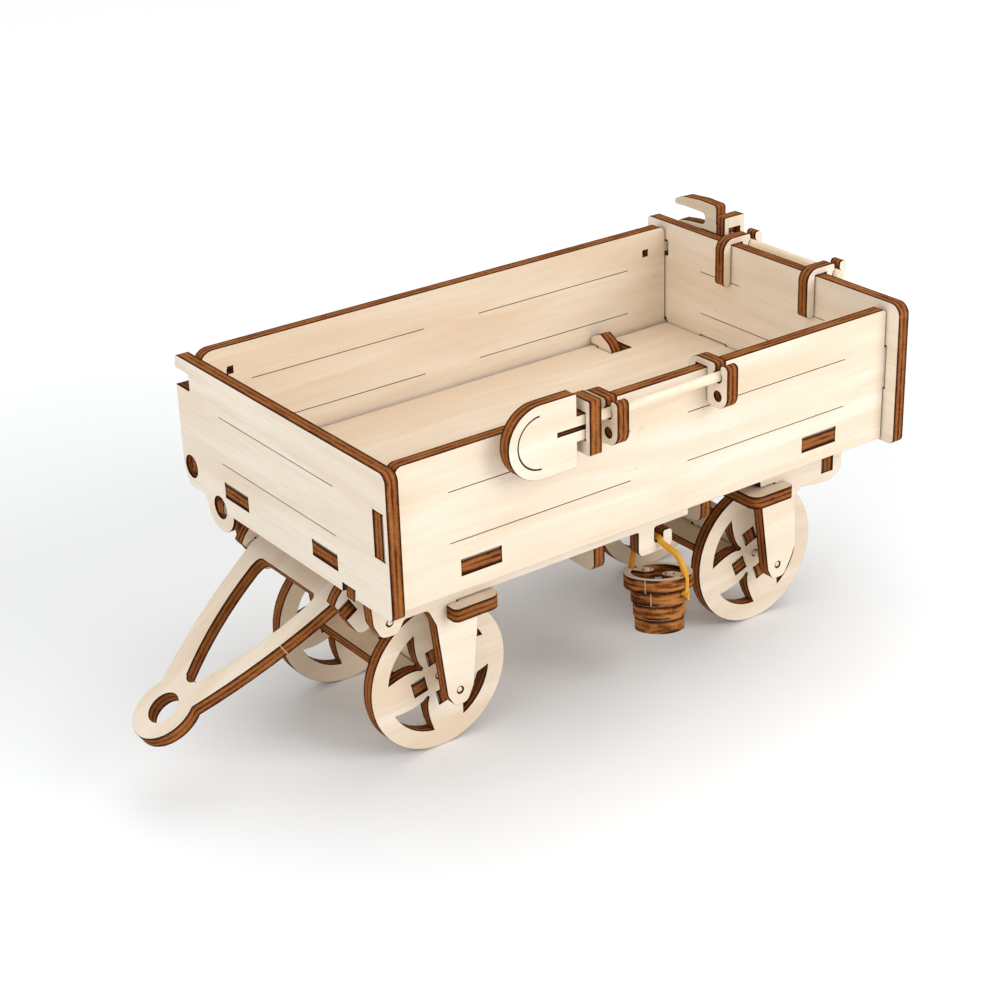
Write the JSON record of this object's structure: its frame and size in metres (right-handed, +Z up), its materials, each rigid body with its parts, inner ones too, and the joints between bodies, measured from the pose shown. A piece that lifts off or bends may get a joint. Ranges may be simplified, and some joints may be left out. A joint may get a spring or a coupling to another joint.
{
  "type": "model farm trailer",
  "caption": "Laser-cut plywood model trailer: side-tipping bed with a drop side, hinged drawbar, spoked wheelsets, removable shovel and fork, and a hanging bucket.",
  "frame": {"origin": "middle of the overall box, on the ground under the wheels", "axes": "+X to the rear, the drawbar points to -X; +Y to the drop side; +Z up"},
  "size_m": [0.1765, 0.0868, 0.0839],
  "materials": {
    "light_ply": "bare sanded birch plywood with laser-burnt edges",
    "panel_ply": "bare sanded birch plywood with laser-burnt edges",
    "inside_ply": "bare sanded birch plywood with laser-burnt edges",
    "burnt_ply": "laser-burnt plywood edges",
    "rubber_band": "satin"
  },
  "bodies": {
    "chassis": {"side_plate_near": "light_ply", "side_plate_far": "light_ply", "bolster_front": "panel_ply", "bolster_rear": "panel_ply", "cross_plate_middle": "panel_ply", "cross_plate_rear": "panel_ply", "cross_plate_end": "panel_ply", "drawbar_rod": "panel_ply"},
    "bed": {"front_panel": "panel_ply", "rear_panel": "panel_ply", "near_board": "light_ply", "bed_floor": "inside_ply", "side_stop": "panel_ply", "board_clip_front": "light_ply", "board_clip_rear": "light_ply", "tailgate_clip_near": "light_ply", "tailgate_clip_far": "light_ply"},
    "drop_side": {"drop_side": "inside_ply"},
    "drawbar": {"drawbar_plate": "light_ply", "drawbar_ear_near": "light_ply", "drawbar_ear_far": "light_ply"},
    "wheelset_front": {"wheel_front_near": "light_ply", "wheel_front_far": "light_ply", "axle_front_plate_near": "light_ply", "axle_front_plate_far": "light_ply", "axle_front_pin_near": "light_ply", "axle_front_pin_far": "light_ply"},
    "wheelset_rear": {"wheel_rear_near": "light_ply", "wheel_rear_far": "light_ply", "axle_rear_plate_near": "light_ply", "axle_rear_plate_far": "light_ply", "axle_rear_pin_near": "light_ply", "axle_rear_pin_far": "light_ply"},
    "shovel": {"shovel": "light_ply", "shovel_handle": "light_ply", "shovel_collar": "panel_ply"},
    "fork": {"fork": "light_ply", "fork_handle": "light_ply", "fork_collar": "panel_ply"},
    "bucket": {"bucket_rim": "burnt_ply", "bucket_ring_upper": "burnt_ply", "bucket_ring_lower": "burnt_ply", "bucket_base": "burnt_ply", "bucket_peg_near": "light_ply", "bucket_peg_far": "light_ply", "bucket_band": "rubber_band"}
  },
  "joints": [
    {"name": "bed_tip", "type": "hinge", "parent": "chassis", "child": "bed", "pos_m": [0.01494, 0.0264, 0.0461], "axis": [-1, 0, 0], "range_deg": [0, 35]},
    {"name": "drop_side_hinge", "type": "hinge", "parent": "bed", "child": "drop_side", "pos_m": [0.01494, 0.0377, 0.05165], "axis": [-1, 0, 0], "range_deg": [0, 150]},
    {"name": "drawbar_hinge", "type": "hinge", "parent": "chassis", "child": "drawbar", "pos_m": [-0.04421, 0.00105, 0.0377], "axis": [0, 1, 0], "range_deg": [-20, 38]},
    {"name": "front_wheels_spin", "type": "hinge", "parent": "chassis", "child": "wheelset_front", "pos_m": [-0.02835, 0.00145, 0.0167], "axis": [0, 1, 0], "continuous": true},
    {"name": "rear_wheels_spin", "type": "hinge", "parent": "chassis", "child": "wheelset_rear", "pos_m": [0.05947, 0.00145, 0.0167], "axis": [0, 1, 0], "continuous": true},
    {"name": "shovel_slide", "type": "slide", "parent": "bed", "child": "shovel", "axis": [-1, 0, 0], "range_m": [0, 0.033]},
    {"name": "fork_slide", "type": "slide", "parent": "bed", "child": "fork", "axis": [0, 1, 0], "range_m": [0, 0.036]},
    {"name": "bucket_swing", "type": "hinge", "parent": "chassis", "child": "bucket", "pos_m": [0.02454, -0.024, 0.03435], "axis": [0, 1, 0], "range_deg": [-20, 20]}
  ]
}
